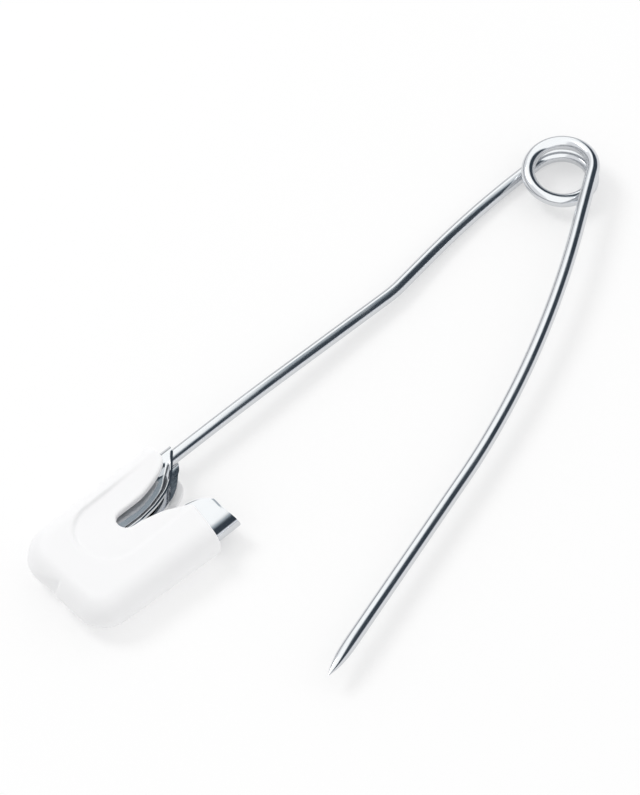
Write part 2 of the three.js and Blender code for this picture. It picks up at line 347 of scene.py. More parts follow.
def finish_material(tree, surface):
    """Links a shader to the material's output."""
    add_node(tree, "ShaderNodeOutputMaterial", {"Surface": surface.outputs[0]})


def maths(tree, operation, *values, **settings):
    """The result of a sum on sockets and numbers."""
    node = add_node(tree, "ShaderNodeMath", dict(enumerate(values)), operation=operation, **settings)
    return node.outputs[0]


def mixed_colour(tree, share, first, second):
    """The first colour where the share is 0, and the second where it is 1."""
    colours = {"Factor": share, "A": first, "B": second}
    return enabled_output(add_node(tree, "ShaderNodeMix", colours, data_type="RGBA"))


def noise(tree, place, grain, detail):
    """Noise with grains of about that size."""
    looks = {"Vector": place, "Scale": 1 / grain, "Detail": detail}
    return add_node(tree, "ShaderNodeTexNoise", looks).outputs["Fac"]


def stretched(tree, place, sizes):
    """A place counted in steps of its own size along each axis."""
    scale = tuple(1 / size for size in sizes)
    return add_node(tree, "ShaderNodeMapping", {"Vector": place, "Scale": scale}).outputs[0]


def remapped(tree, value, known, wanted):
    """The value carried over from one range to another."""
    ranges = {
        "Value": value, "From Min": known[0], "From Max": known[1], "To Min": wanted[0], "To Max": wanted[1],
    }
    return add_node(tree, "ShaderNodeMapRange", ranges).outputs[0]


def relief(tree, height, depth):
    """The normal of a surface with bumps of that depth."""
    return add_node(tree, "ShaderNodeBump", {"Height": height, "Distance": depth, "Strength": 1.0}).outputs[0]


def plated_steel(tree, colour, roughness, normal):
    """The bright shader of nickel plating."""
    looks = {"Base Color": (*colour, 1), "Metallic": 1.0, "Roughness": roughness, "Normal": normal}
    return add_node(tree, "ShaderNodeBsdfPrincipled", looks)


def drawn_wire_finish(colour):
    """Steel wire, drawn through a die and nickel plated: mirror bright, with faint lines along its length."""
    line_spacing = 0.14 * MM
    line_length = 6 * MM
    line_height = 0.0016 * MM
    cloud_size = 1.6 * MM
    pattern_range = (0.1, 0.45)
    roughness_range = (0.1, 0.2)
    material, tree = new_material("nickel_plated_drawn_wire")
    place = add_node(tree, "ShaderNodeAttribute", attribute_name="wire_place").outputs["Vector"]
    drawn_out = stretched(tree, place, (line_spacing, line_spacing, line_length))
    lines = noise(tree, drawn_out, 1, 3)
    clouds = noise(tree, add_node(tree, "ShaderNodeTexCoord").outputs["Object"], cloud_size, 2)
    roughness = remapped(tree, maths(tree, "MULTIPLY", lines, clouds), pattern_range, roughness_range)
    finish_material(tree, plated_steel(tree, colour, roughness, relief(tree, lines, line_height)))
    return material


def polished_sheet_finish(colour):
    """Sheet steel, stamped, folded and nickel plated: a mirror with the slight waviness of pressed sheet."""
    wave_size = 2.2 * MM
    wave_height = 0.004 * MM
    scuff_length = 1.5 * MM
    scuff_width = 0.06 * MM
    scuff_range = (0.35, 0.7)
    roughness_range = (0.07, 0.15)
    material, tree = new_material("nickel_plated_pressed_sheet")
    place = add_node(tree, "ShaderNodeTexCoord").outputs["Object"]
    waves = noise(tree, place, wave_size, 1)
    scuffs = noise(tree, stretched(tree, place, (scuff_length, scuff_width, scuff_width)), 1, 2)
    roughness = remapped(tree, scuffs, scuff_range, roughness_range)
    finish_material(tree, plated_steel(tree, colour, roughness, relief(tree, waves, wave_height)))
    return material


def moulded_plastic_finish(colour):
    """White polypropylene from a polished mould: a soft gloss, faintly uneven, a little light soaking in."""
    peel_size = 0.35 * MM
    peel_height = 0.0015 * MM
    sink_size = 5 * MM
    sink_range = (0.3, 0.7)
    roughness_range = (0.42, 0.52)
    refractive_index = 1.49
    soak_share = 0.15
    soak_depth = 0.5 * MM
    material, tree = new_material("white_moulded_polypropylene")
    place = add_node(tree, "ShaderNodeTexCoord").outputs["Object"]
    roughness = remapped(tree, noise(tree, place, sink_size, 2), sink_range, roughness_range)
    plastic = add_node(
        tree, "ShaderNodeBsdfPrincipled",
        {
            "Base Color": (*colour, 1), "IOR": refractive_index, "Roughness": roughness,
            "Subsurface Weight": soak_share, "Subsurface Radius": (1, 1, 1), "Subsurface Scale": soak_depth,
            "Normal": relief(tree, noise(tree, place, peel_size, 2), peel_height),
        },
    )
    finish_material(tree, plastic)
    return material


def wire_tree():
    """Geometry Nodes that draw a round wire along a line of points, and grind its end to a point if asked."""
    tree = bpy.data.node_groups.new("Drawn wire", "GeometryNodeTree")
    for name, kind in (
        ("Line", "NodeSocketGeometry"), ("Radius", "NodeSocketFloat"), ("Sides", "NodeSocketInt"),
        ("Pointed", "NodeSocketBool"), ("Point Length", "NodeSocketFloat"),
        ("Tip Radius", "NodeSocketFloat"), ("Fullness", "NodeSocketFloat"), ("Finish", "NodeSocketMaterial"),
    ):
        tree.interface.new_socket(name, in_out="INPUT", socket_type=kind)
    tree.interface.new_socket("Wire", in_out="OUTPUT", socket_type="NodeSocketGeometry")
    given = add_node(tree, "NodeGroupInput").outputs
    line = add_node(tree, "GeometryNodeMeshToCurve", {0: given["Line"]})
    along = add_node(tree, "GeometryNodeSplineParameter")
    whole = add_node(tree, "GeometryNodeSplineLength")
    left = maths(tree, "SUBTRACT", whole.outputs["Length"], along.outputs["Length"])
    share = maths(tree, "DIVIDE", left, given["Point Length"], use_clamp=True)
    rounded = maths(tree, "POWER", maths(tree, "SUBTRACT", 1.0, share), given["Fullness"])
    narrowed = remapped(tree, rounded, (0, 1), (given["Radius"], given["Tip Radius"]))
    radius = add_node(
        tree, "GeometryNodeSwitch", {"Switch": given["Pointed"], "False": given["Radius"], "True": narrowed},
        input_type="FLOAT",
    )
    kept_along = add_node(tree, "GeometryNodeCaptureAttribute")
    kept_along.capture_items.new("FLOAT", "Along")
    tree.links.new(line.outputs[0], kept_along.inputs[0])
    tree.links.new(along.outputs["Length"], kept_along.inputs["Along"])
    sized = add_node(
        tree, "GeometryNodeSetCurveRadius", {0: kept_along.outputs[0], "Radius": radius.outputs[0]}
    )
    section = add_node(
        tree, "GeometryNodeCurvePrimitiveCircle", {"Resolution": given["Sides"], "Radius": 1.0}
    )
    round_place = add_node(tree, "GeometryNodeInputPosition")
    kept_round = add_node(tree, "GeometryNodeCaptureAttribute")
    kept_round.capture_items.new("VECTOR", "Round")
    tree.links.new(section.outputs[0], kept_round.inputs[0])
    tree.links.new(round_place.outputs[0], kept_round.inputs["Round"])
    swept = add_node(
        tree, "GeometryNodeCurveToMesh",
        {
            "Curve": sized.outputs[0], "Profile Curve": kept_round.outputs[0],
            "Scale": radius.outputs[0], "Fill Caps": True,
        },
    )
    across = add_node(
        tree, "ShaderNodeVectorMath", {0: kept_round.outputs["Round"], "Scale": given["Radius"]},
        operation="SCALE",
    )
    parts = add_node(tree, "ShaderNodeSeparateXYZ", {0: across.outputs[0]})
    place = add_node(
        tree, "ShaderNodeCombineXYZ",
        {"X": parts.outputs["X"], "Y": parts.outputs["Y"], "Z": kept_along.outputs["Along"]},
    )
    marked = add_node(
        tree, "GeometryNodeStoreNamedAttribute",
        {"Geometry": swept.outputs[0], "Name": "wire_place", "Value": place.outputs[0]},
        data_type="FLOAT_VECTOR",
    )
    smooth = add_node(tree, "GeometryNodeSetShadeSmooth", {"Geometry": marked.outputs[0]})
    angle = add_node(tree, "GeometryNodeInputMeshEdgeAngle")
    creased = add_node(
        tree, "FunctionNodeCompare", {"A": angle.outputs["Unsigned Angle"], "B": WIRE_CREASE},
        operation="GREATER_THAN",
    )
    edged = add_node(
        tree, "GeometryNodeSetShadeSmooth",
        {"Geometry": smooth.outputs[0], "Selection": creased.outputs[0], "Shade Smooth": False},
        domain="EDGE",
    )
    real = add_node(tree, "GeometryNodeRealizeInstances", {0: edged.outputs[0]})
    finished = add_node(
        tree, "GeometryNodeSetMaterial", {"Geometry": real.outputs[0], "Material": given["Finish"]}
    )
    add_node(tree, "NodeGroupOutput", {0: finished.outputs[0]})
    return tree


def link_object(name, data):
    """An object for a mesh, a camera or a lamp, in the scene."""
    thing = bpy.data.objects.new(name, data)
    bpy.context.scene.collection.objects.link(thing)
    return thing


def shared(name, make):
    """The material or node tree that make() builds, built once."""
    if name not in SHARED:
        SHARED[name] = make()
    return SHARED[name]


def draw_wire(name, points, pointed=False):
    """Sweeps the wire along a line of points and returns it as a plain mesh object."""
    scene = bpy.context.scene
    wire = scene.pin_wire
    tree = shared("wire_tree", wire_tree)
    finish = shared("wire_finish", lambda: drawn_wire_finish(scene.pin_finish.wire))
    route = bpy.data.meshes.new(name + "_route")
    route.from_pydata([tuple(p) for p in points], [(i, i + 1) for i in range(len(points) - 1)], [])
    carrier = link_object(name + "_route", route)
    modifier = carrier.modifiers.new("Drawn wire", "NODES")
    modifier.node_group = tree
    values = {
        "Radius": wire.diameter / 2, "Sides": WIRE_SIDES, "Pointed": pointed,
        "Point Length": wire.point_length, "Tip Radius": TIP_RADIUS, "Fullness": POINT_FULLNESS,
        "Finish": finish,
    }
    for socket in tree.interface.items_tree:
        if socket.name in values:
            modifier[socket.identifier] = values[socket.name]
    bpy.context.view_layer.update()
    swept = carrier.evaluated_get(bpy.context.evaluated_depsgraph_get())
    mesh = bpy.data.meshes.new_from_object(swept)
    bpy.data.objects.remove(carrier)
    mesh.name = name
    return link_object(name, mesh)


def eased_run(x, start, stop):
    """How far a thing has moved at x when its slope grows evenly from 0 at start to 1 at stop."""
    inside = np.clip(x - start, 0, stop - start)
    return inside**2 / (2 * (stop - start)) + np.maximum(0, x - stop)


def ease(x, start, stop):
    """Goes smoothly from 0 at start to 1 at stop."""
    share = np.clip((x - start) / (stop - start), 0, 1)
    return share**2 * (3 - 2 * share)


def steps_for(length):
    """How many points a stretch of wire takes."""
    return int(length / WIRE_STEP) + 2


def meeting_run(wire):
    """Length of the coil's straight ends, up to the middle of the gap where the wire is parted."""
    return wire.diameter + PARTING_GAP / 2


def placed(x, y, z):
    """Points given from the coil's axis and the table, in the row frame."""
    return np.stack([x + COIL_AXIS.x, y + COIL_AXIS.y, z + 0 * x], axis=1)


def coil_line(wire):
    """The coil's centre line: level ends with an even climb between, and a straight run at each end."""
    run = meeting_run(wire)
    whole_wrap = 3 * math.pi - wire.arm_angle
    turned = wire.coil_radius * whole_wrap
    along = np.linspace(0, turned + 2 * run, steps_for(turned))
    onward = np.minimum(0, along - run) + np.maximum(0, along - run - turned)
    wrap = np.clip((along - run) / wire.coil_radius, 0, whole_wrap)
    angle = -math.pi / 2 - wrap
    rate = (ARM_ROOT.z - wire.diameter / 2) / (whole_wrap - COIL_EASE)
    climb = eased_run(wrap, 0, COIL_EASE) - eased_run(wrap, whole_wrap - COIL_EASE, whole_wrap)
    return placed(
        wire.coil_radius * np.cos(angle) + onward * np.sin(angle),
        wire.coil_radius * np.sin(angle) - onward * np.cos(angle),
        wire.diameter / 2 + rate * climb,
    )


def leg_line(wire, clasp):
    """The fixed leg's centre line, from its meeting with the coil to its tail inside the clasp."""
    start = meeting_run(wire)
    stop = LEG_LENGTH + CLASP_LENGTH - LEG_TAIL_SHORT
    x = np.linspace(start, stop, steps_for(stop - start))
    slope = math.tan(wire.leg_bend_angle)
    aside = -clasp.span / 2 - COIL_AXIS.y
    bow_place = wire.leg_bend_place - (wire.coil_radius + aside) / slope
    turned = eased_run(x, bow_place - LEG_BOW_RUN / 2, bow_place + LEG_BOW_RUN / 2)
    turned -= eased_run(x, wire.leg_bend_place - LEG_BEND_RUN / 2, wire.leg_bend_place + LEG_BEND_RUN / 2)
    ramp_start = wire.diameter + PARTING_GAP + LEG_RAMP_MARGIN
    ramp_end = LEG_LENGTH - LEG_RAMP_MARGIN
    rate = (HEAD_HEIGHT - wire.diameter / 2) / (ramp_end - LEG_RAMP_RUN - ramp_start)
    climb = eased_run(x, ramp_start, ramp_start + LEG_RAMP_RUN)
    climb -= eased_run(x, ramp_end - LEG_RAMP_RUN, ramp_end)
    return placed(x, slope * turned - wire.coil_radius, wire.diameter / 2 + rate * climb)


def arm_line(wire):
    """The arm's centre line: straight off the coil, one long bow, and straight to the tip."""
    whole = ARM_ROOT_RUN + wire.arm_bow_length + ARM_TIP_RUN
    start = meeting_run(wire)
    along = np.linspace(start, whole, steps_for(whole - start))
    bow_radius = wire.arm_bow_length / wire.arm_bow_angle
    heading = wire.arm_angle - np.clip((along - ARM_ROOT_RUN) / bow_radius, 0, wire.arm_bow_angle)
    before = np.minimum(along, ARM_ROOT_RUN)
    after = np.maximum(0, along - ARM_ROOT_RUN - wire.arm_bow_length)
    drop = ease(along, ARM_ROOT_RUN, ARM_ROOT_RUN + wire.arm_bow_length)
    sin_root, cos_root = math.sin(wire.arm_angle), math.cos(wire.arm_angle)
    return placed(
        before * cos_root - wire.coil_radius * sin_root
        + bow_radius * (sin_root - np.sin(heading)) + after * np.cos(heading),
        before * sin_root + wire.coil_radius * cos_root
        + bow_radius * (np.cos(heading) - cos_root) + after * np.sin(heading),
        ARM_ROOT.z + (HEAD_HEIGHT - ARM_ROOT.z) * drop,
    )


def smooth_curve(points, steps=12):
    """Points along a smooth curve that passes through all the given ones."""
    points = np.array(points, float)
    padded = np.vstack([points[:1], points, points[-1:]])
    share = np.linspace(0, 1, steps, endpoint=False)[:, None]
    pieces = []
    for before, start, stop, after in zip(padded, padded[1:], padded[2:], padded[3:]):
        leaving = (stop - before) / 2
        arriving = (after - start) / 2
        pieces.append(
            start + share * leaving
            + share**2 * (3 * (stop - start) - 2 * leaving - arriving)
            + share**3 * (2 * (start - stop) + leaving + arriving)
        )
    return np.vstack([*pieces, points[-1:]])


def arc_points(centre, radius, start, stop, steps=24):
    """Points on an arc in a plan, as (along, across) pairs."""
    angle = np.linspace(start, stop, steps)
    return np.stack([centre[0] + radius * np.sin(angle), centre[1] - radius * np.cos(angle)], axis=1)


def evenly(points, step):
    """The same line with points about one step apart."""
    lengths = np.concatenate([[0], np.cumsum(np.hypot(*np.diff(points, axis=0).T))])
    wanted = np.linspace(0, lengths[-1], max(3, int(lengths[-1] / step) + 1))
    return np.stack([np.interp(wanted, lengths, points[:, k]) for k in range(2)], axis=1)


def front_edge(clasp):
    """The clasp's mouth across its front sheet: stretches of (along, across) points, from leg to fold."""
    size = np.array([CLASP_LENGTH, clasp.span])
    tongue = smooth_curve(np.array(TONGUE_SHARES) * size)
    shroud = smooth_curve(np.array(SHROUD_SHARES) * size)
    bottom = THROAT_DEPTH - THROAT_WIDTH / 2
    left = tongue[-1, 1]
    right = left + THROAT_WIDTH
    return [
        tongue,
        np.array([tongue[-1], [bottom, left]]),
        arc_points((bottom, (left + right) / 2), THROAT_WIDTH / 2, 0, math.pi),
        np.array([[bottom, right], shroud[0]]),
        shroud,
    ]


def hood_share(u, v, clasp, fade_start=HOOD_FADE_START, fade_end=HOOD_FADE_END):
    """How far the sheet has risen into the hood over the point, from 0 to 1."""
    side = ease(v, HOOD_SIDE_SHARES[0] * clasp.span, HOOD_SIDE_SHARES[1] * clasp.span)
    return side * (1 - ease(u, fade_start, fade_end))


def press_depth(u, v, from_edge):
    """How far the tongue of the front sheet is pressed in: least at its root, and none along its rim."""
    depth = PRESS_SLOPE * np.maximum(0, PRESS_END - u)
    depth = depth + PRESS_TILT * np.clip(v, 0, THROAT_DEPTH / 2) * (1 - ease(u, *PRESS_FADE))
    flat = ease(from_edge, *RIM_REACH) * ease(v, *PRESS_SIDE) * (1 - ease(v, *PRESS_BESIDE))
    return np.minimum(depth, PRESS_MOST + PRESS_TILT * v) * flat


def clasp_band(clasp, back_start, leg_start):
    """Where the folded sheet's rows cross its section: along the head, and round the section from the leg."""
    near, far = [], []
    for stretch, low, high in zip(front_edge(clasp), FAR_EDGE_SHARES, FAR_EDGE_SHARES[1:]):
        points = evenly(stretch, CONTOUR_STEP)
        near.append(points[:-1])
        far.append(np.linspace(low, high, len(points))[:-1] * clasp.span)
    edge = np.vstack([*near, [[SHROUD_SHARES[-1][0] * CLASP_LENGTH, clasp.span]]])
    far_edge = np.concatenate([*far, [clasp.span]])
    half_turn = back_start - clasp.span
    turn_share = np.linspace(0, 1, int(half_turn / CONTOUR_STEP))[1:-1]
    back_along = np.maximum(0, edge[::-1, 0] - BACK_SHEET_LEAD)
    fold_along = edge[-1, 0] - BACK_SHEET_LEAD * ease(turn_share, *FOLD_EDGE_TURN)
    leg_along = edge[0, 0] * ease(turn_share, *LEG_EDGE_TURN)
    along = np.concatenate([edge[:, 0], fold_along, back_along, leg_along])
    near_round, far_round = (
        np.concatenate([
            across, clasp.span + half_turn * turn_share,
            back_start + clasp.span - across[::-1], leg_start + half_turn * turn_share,
        ])
        for across in (edge[:, 1], far_edge)
    )
    rows = np.linspace(0, 1, CLASP_ROWS)[:, None] ** CLASP_ROW_CROWDING
    return edge, along + rows * (CLASP_LENGTH - along), near_round + rows * (far_round - near_round)


def clasp_mesh(clasp):
    """The outer face of the folded sheet, as a band round the section from its mouth to its inner end."""
    fold_start = clasp.span
    back_start = fold_start + math.pi * CLASP_OUTER
    leg_start = back_start + clasp.span
    edge, u, w = clasp_band(clasp, back_start, leg_start)
    fold_angle = (w - fold_start) / CLASP_OUTER
    leg_angle = (w - leg_start) / CLASP_OUTER
    across = np.minimum(w, leg_start - w)
    hood = hood_share(u, across, clasp)
    shoulder = HOOD_SHOULDER * hood * ease(across, HOOD_SHOULDER_START * clasp.span, clasp.span)
    from_edge = edge_distance(edge, u, w)
    curl = CURL_DROP * (1 - ease(from_edge, 0, CURL_REACH)) * (1 - CURL_LESS_ON_HOOD * hood)
    height = CLASP_OUTER + HOOD_RISE * hood - curl
    where = [w < fold_start, w < back_start, w < leg_start]
    v = np.select(
        where,
        [
            w - shoulder,
            clasp.span - shoulder + (CLASP_OUTER + HOOD_SPREAD * hood + shoulder) * np.sin(fold_angle),
            leg_start - w - shoulder,
        ],
        -CLASP_OUTER * np.sin(leg_angle),
    )
    press = press_depth(u, w, from_edge)
    flare = FLARE_SLOPE * np.maximum(0, FLARE_END - u) * ease(v, *PRESS_SIDE) * (1 - hood)
    z = np.select(
        where,
        [height - press, height * np.cos(fold_angle), -height - flare],
        -CLASP_OUTER * np.cos(leg_angle),
    )
    count = u.shape[1]
    places = head_places(u.ravel(), v.ravel(), z.ravel(), clasp)
    quads = []
    for row in range(CLASP_ROWS - 1):
        for i in range(count):
            start = row * count
            after = (i + 1) % count
            quads.append((start + i, start + count + i, start + count + after, start + after))
    mesh = bpy.data.meshes.new("clasp")
    mesh.from_pydata(places.tolist(), [], quads)
    mesh.shade_smooth()
    return mesh


def head_places(u, v, z, clasp):
    """Places in the head, from the clasp's mouth, the leg's axis and mid-plane, in the row frame."""
    return np.stack([u + CLASP_LOW.x, v - clasp.span / 2, z + HEAD_HEIGHT], axis=-1)


def rounded_max(a, b, size):
    """The larger of two distances, with the corner where they meet rounded over that size."""
    return np.maximum(a, b) + np.maximum(0, size - np.abs(a - b)) ** 2 / (4 * size)


def corner(a, b, radius):
    """Distance to the region inside two straight sides that meet in a corner of that radius."""
    a, b = a + radius, b + radius
    return np.minimum(np.maximum(a, b), 0) + np.hypot(np.maximum(a, 0), np.maximum(b, 0)) - radius


def edge_distance(edge, u, v):
    """Distance to the nearest stretch of an open plan line."""
    nearest = np.full(np.broadcast(u, v).shape, np.inf)
    for (from_u, from_v), (to_u, to_v) in zip(edge, edge[1:]):
        run_u, run_v = to_u - from_u, to_v - from_v
        share = np.clip(((u - from_u) * run_u + (v - from_v) * run_v) / (run_u**2 + run_v**2), 0, 1)
        nearest = np.minimum(nearest, (u - from_u - share * run_u) ** 2 + (v - from_v - share * run_v) ** 2)
    return np.sqrt(nearest)


def outline_distance(outline, u, v):
    """Signed distance to a closed plan outline, negative inside it."""
    closed = np.vstack([outline, outline[:1]])
    inside = np.zeros(np.broadcast(u, v).shape, bool)
    for (from_u, from_v), (to_u, to_v) in zip(closed, closed[1:]):
        crossed = (from_v > v) != (to_v > v)
        run_u, run_v = to_u - from_u, to_v - from_v
        inside ^= crossed & ((u - from_u) * abs(run_v) < run_u * (v - from_v) * np.sign(run_v))
    return np.where(inside, -1, 1) * edge_distance(closed, u, v)


def mouth_outline(left_shares, right_shares, clasp):
    """What is cut away at the sleeve's mouth, seen from above: it leaves a lobe on each side of a notch."""
    size = np.array([NOTCH_DEPTH, clasp.span])
    left = smooth_curve(np.array(left_shares) * size)
    right = smooth_curve(np.array(right_shares) * size)
    radius = (right[0, 1] - left[-1, 1]) / 2
    start = -SLEEVE_TRAVEL - clasp.span
    side = clasp.span
    bottom = arc_points((left[-1, 0], left[-1, 1] + radius), radius, 0, math.pi)
    return np.vstack([
        [[start, -side], [left[0, 0], -side]], left, bottom[1:-1], right,
        [[right[-1, 0], clasp.span + side], [start, clasp.span + side]],
    ])


def sleeve_field(clasp):
    """A function of the place in the head that is the sleeve's signed distance, negative in the plastic."""
    half = HEAD_HEIGHT
    side_round = half - SLEEVE_FLAT / 2
    front_cut = mouth_outline(FRONT_LEFT_LOBE_SHARES, RIGHT_LOBE_SHARES, clasp)
    back_cut = mouth_outline(BACK_LEFT_LOBE_SHARES, RIGHT_LOBE_SHARES, clasp)

    def field(u, v, z):
        arm_side = clasp.span + CLASP_OUTER + SLEEVE_SIDE_WALL - u * math.tan(SLEEVE_TAPER)
        wire_edge = -half - v
        arm_edge = (v - arm_side) * math.cos(SLEEVE_TAPER)
        far_edge = u - SLEEVE_END - END_BULGE
        plan = np.maximum(corner(wire_edge, far_edge, WIRE_CORNER), corner(arm_edge, far_edge, ARM_CORNER))
        crown = CROWN_DROP * (np.maximum(0, u - CROWN_START) / (SLEEVE_END - CROWN_START)) ** 2
        blank = corner(plan, np.abs(z) + crown - half, side_round)
        face = ease(z, -FACE_BLEND, FACE_BLEND)
        mouth = outline_distance(back_cut, u, v) * (1 - face) + outline_distance(front_cut, u, v) * face
        mouth = mouth + LIP_SPARE
        room = CLASP_OUTER + SLEEVE_PLAY
        hood = hood_share(u, v, clasp, HOOD_FADE_START + SLEEVE_TRAVEL, HOOD_FADE_END + SLEEVE_TRAVEL)
        taller = (room + HOOD_RISE * hood) / (room + HOOD_SPREAD * hood)
        flare = FLARE_SLOPE * np.maximum(0, FLARE_END + SLEEVE_TRAVEL - u) * ease(v, *PRESS_SIDE)
        room = room + HOOD_RISE * hood + flare * (1 - hood) * (1 - face)
        capsule = np.hypot((v - np.clip(v, 0, clasp.span)) * taller, z) - room
        hollow = rounded_max(capsule, u - (SLEEVE_END - SLEEVE_END_WALL), HOLLOW_END_ROUND)
        pad_middle = PAD_RADIUS - PAD_SIDE
        pad_plan = np.hypot(np.maximum(0, u - PAD_REACH + PAD_RADIUS), v - pad_middle) - PAD_RADIUS
        pad_depth = PAD_DEPTH * ease(u, *PAD_START) * (1 - ease(v, -PAD_SIDE, 2 * PAD_RADIUS - PAD_SIDE))
        pad = rounded_max(pad_plan, half - pad_depth - z, PAD_ROUND)
        end_floor = SLEEVE_END + END_BULGE - END_STEP_DEPTH - END_STEP_SLOPE * (v - END_STEP_SIDE)
        step = rounded_max(v - END_STEP_SIDE, end_floor - u, END_STEP_ROUND)
        solid = rounded_max(blank, -step, END_STEP_ROUND)
        solid = rounded_max(solid, -pad, PAD_ROUND)
        solid = rounded_max(solid, -mouth, LIP_ROUND)
        return rounded_max(solid, -hollow, INNER_ROUND)

    return field


def skin_of(field, low, high, step):
    """Vertices and quads on the surface where the field is zero, one vertex in each cell that it passes."""
    axes = [np.arange(start, stop + step, step) for start, stop in zip(low, high)]
    values = field(axes[0][:, None, None], axes[1][None, :, None], axes[2][None, None, :])
    shape = np.array(values.shape)
    cells, crossings, faces = [], [], []
    for axis in range(3):
        near = np.take(values, range(shape[axis] - 1), axis)
        far = np.take(values, range(1, shape[axis]), axis)
        edges = np.argwhere((near < 0) != (far < 0))
        at_near, at_far = near[tuple(edges.T)], far[tuple(edges.T)]
        unit = np.eye(3, dtype=int)
        points = edges + (at_near / (at_near - at_far))[:, None] * unit[axis]
        b, c = unit[(axis + 1) % 3], unit[(axis + 2) % 3]
        ring = [np.ravel_multi_index((edges - offset).T, shape) for offset in (0 * b, b, b + c, c)]
        cells += ring
        crossings += [points] * len(ring)
        quads = np.stack(ring, axis=1)
        faces.append(np.where((at_near < 0)[:, None], quads, quads[:, ::-1]))
    numbers, of_corner = np.unique(np.concatenate(cells), return_inverse=True)
    crossings = np.concatenate(crossings)
    counts = np.bincount(of_corner)
    middle = np.stack([np.bincount(of_corner, crossings[:, k]) / counts for k in range(3)], axis=1)
    return np.array(low) + step * middle, np.searchsorted(numbers, np.concatenate(faces))


def seat_on_surface(field, places):
    """Moves places along the field's slope until the field is zero there."""
    for _ in range(SKIN_PASSES):
        value = field(*places.T)
        slope = np.stack([
            (field(*(places + step).T) - field(*(places - step).T)) / (2 * SKIN_PROBE)
            for step in SKIN_PROBE * np.eye(3)
        ], axis=1)
        steepness = np.maximum(np.sum(slope**2, axis=1), LEAST_STEEPNESS)
        places = places - (value / steepness)[:, None] * slope
    return places


def sleeve_mesh(clasp):
    """The sleeve's skin, with its soft edges, thumb pad, notch and stepped far end."""
    field = sleeve_field(clasp)
    top = HEAD_HEIGHT + SKIN_MARGIN
    low = (0, -top, -top)
    high = (SLEEVE_END + SKIN_MARGIN, clasp.span + CLASP_OUTER + SLEEVE_SIDE_WALL + SKIN_MARGIN, top)
    places, quads = skin_of(field, low, high, SKIN_STEP)
    places = seat_on_surface(field, places)
    mesh = bpy.data.meshes.new("sleeve")
    mesh.from_pydata(head_places(*places.T, clasp).tolist(), [], quads.tolist())
    mesh.shade_smooth()
    return mesh


def studio_world(stage):
    """A white tent. Diffuse light is a little stronger from the coil's side. Bright metal sees its lit top,
    its dimmer left side, its dark skirt and the dark room through its opening on the right."""
    brightest = 1.5
    side_glow = (0.66, 0.665, 0.675, 1)
    skirt = (0.2, 0.21, 0.22, 1)
    table = (0.64, 0.652, 0.685, 1)
    shades = (
        (0.0, (0.95, 0.955, 0.945)), (0.4, (0.33, 0.375, 0.405)),
        (0.68, (0.25, 0.29, 0.32)), (1.0, (0.028, 0.038, 0.05)),
    )
    coil_side = Vector((-1, 0, 0))
    upper_limit = Vector((0.952, -0.167, 0.495))
    limit_reach = (-0.07, 0.065)
    right = Vector((math.cos(stage.azimuth), math.sin(stage.azimuth), 0))
    opening_slant = Vector((0, 0, 0.35))
    opening_reach = (0.2, 0.33)
    left_reach = (0.36, 0.5)
    foot_reach = (-0.3, -0.14)
    world = bpy.data.worlds.new("studio_tent")
    world.use_nodes = True
    tree = world.node_tree
    tree.nodes.clear()
    direction = add_node(tree, "ShaderNodeTexCoord").outputs["Generated"]

    def reach_along(axis):
        """How far the direction reaches along an axis."""
        return add_node(
            tree, "ShaderNodeVectorMath", {0: direction, 1: axis}, operation="DOT_PRODUCT"
        ).outputs["Value"]

    def share_along(axis, reach, shape="SMOOTHSTEP"):
        """Goes from 0 to 1 as the direction's reach along an axis goes from one value to the other."""
        limits = {"Value": reach_along(axis), "From Min": reach[0], "From Max": reach[1]}
        return add_node(tree, "ShaderNodeMapRange", limits, interpolation_type=shape).outputs[0]

    # The room lies below a slanted limit, and to the right of where the opening begins.
    under = share_along(-upper_limit, limit_reach, "LINEAR")
    beside = share_along(right + opening_slant, opening_reach)
    room = add_node(tree, "ShaderNodeValToRGB", {"Fac": maths(tree, "MULTIPLY", under, beside)})
    for share, _ in shades[1:-1]:
        room.color_ramp.elements.new(share)
    for stop, (share, colour) in zip(room.color_ramp.elements, shades):
        stop.position = share
        stop.color = (*colour, 1)
    lit = mixed_colour(tree, share_along(-right, left_reach), room.outputs["Color"], side_glow)
    foot = mixed_colour(tree, beside, skirt, table)
    glow = mixed_colour(tree, share_along(Vector((0, 0, -1)), foot_reach), lit, foot)
    uneven = maths(tree, "MULTIPLY_ADD", reach_along(coil_side), DOME_LEAN * stage.dome, stage.dome)
    dome = add_node(tree, "ShaderNodeBackground", {"Color": (1, 1, 1, 1), "Strength": uneven})
    seen_in_gloss = add_node(tree, "ShaderNodeBackground", {"Color": glow, "Strength": brightest})
    white = add_node(tree, "ShaderNodeBackground", {"Color": (1, 1, 1, 1), "Strength": 1.0})
    rays = add_node(tree, "ShaderNodeLightPath").outputs
    gloss = add_node(
        tree, "ShaderNodeMixShader",
        {"Fac": rays["Is Glossy Ray"], 1: dome.outputs[0], 2: seen_in_gloss.outputs[0]},
    )
    straight = maths(tree, "MAXIMUM", rays["Is Camera Ray"], rays["Is Transmission Ray"])
    seen = add_node(tree, "ShaderNodeMixShader", {"Fac": straight, 1: gloss.outputs[0], 2: white.outputs[0]})
    add_node(tree, "ShaderNodeOutputWorld", {"Surface": seen.outputs[0]})
    return world


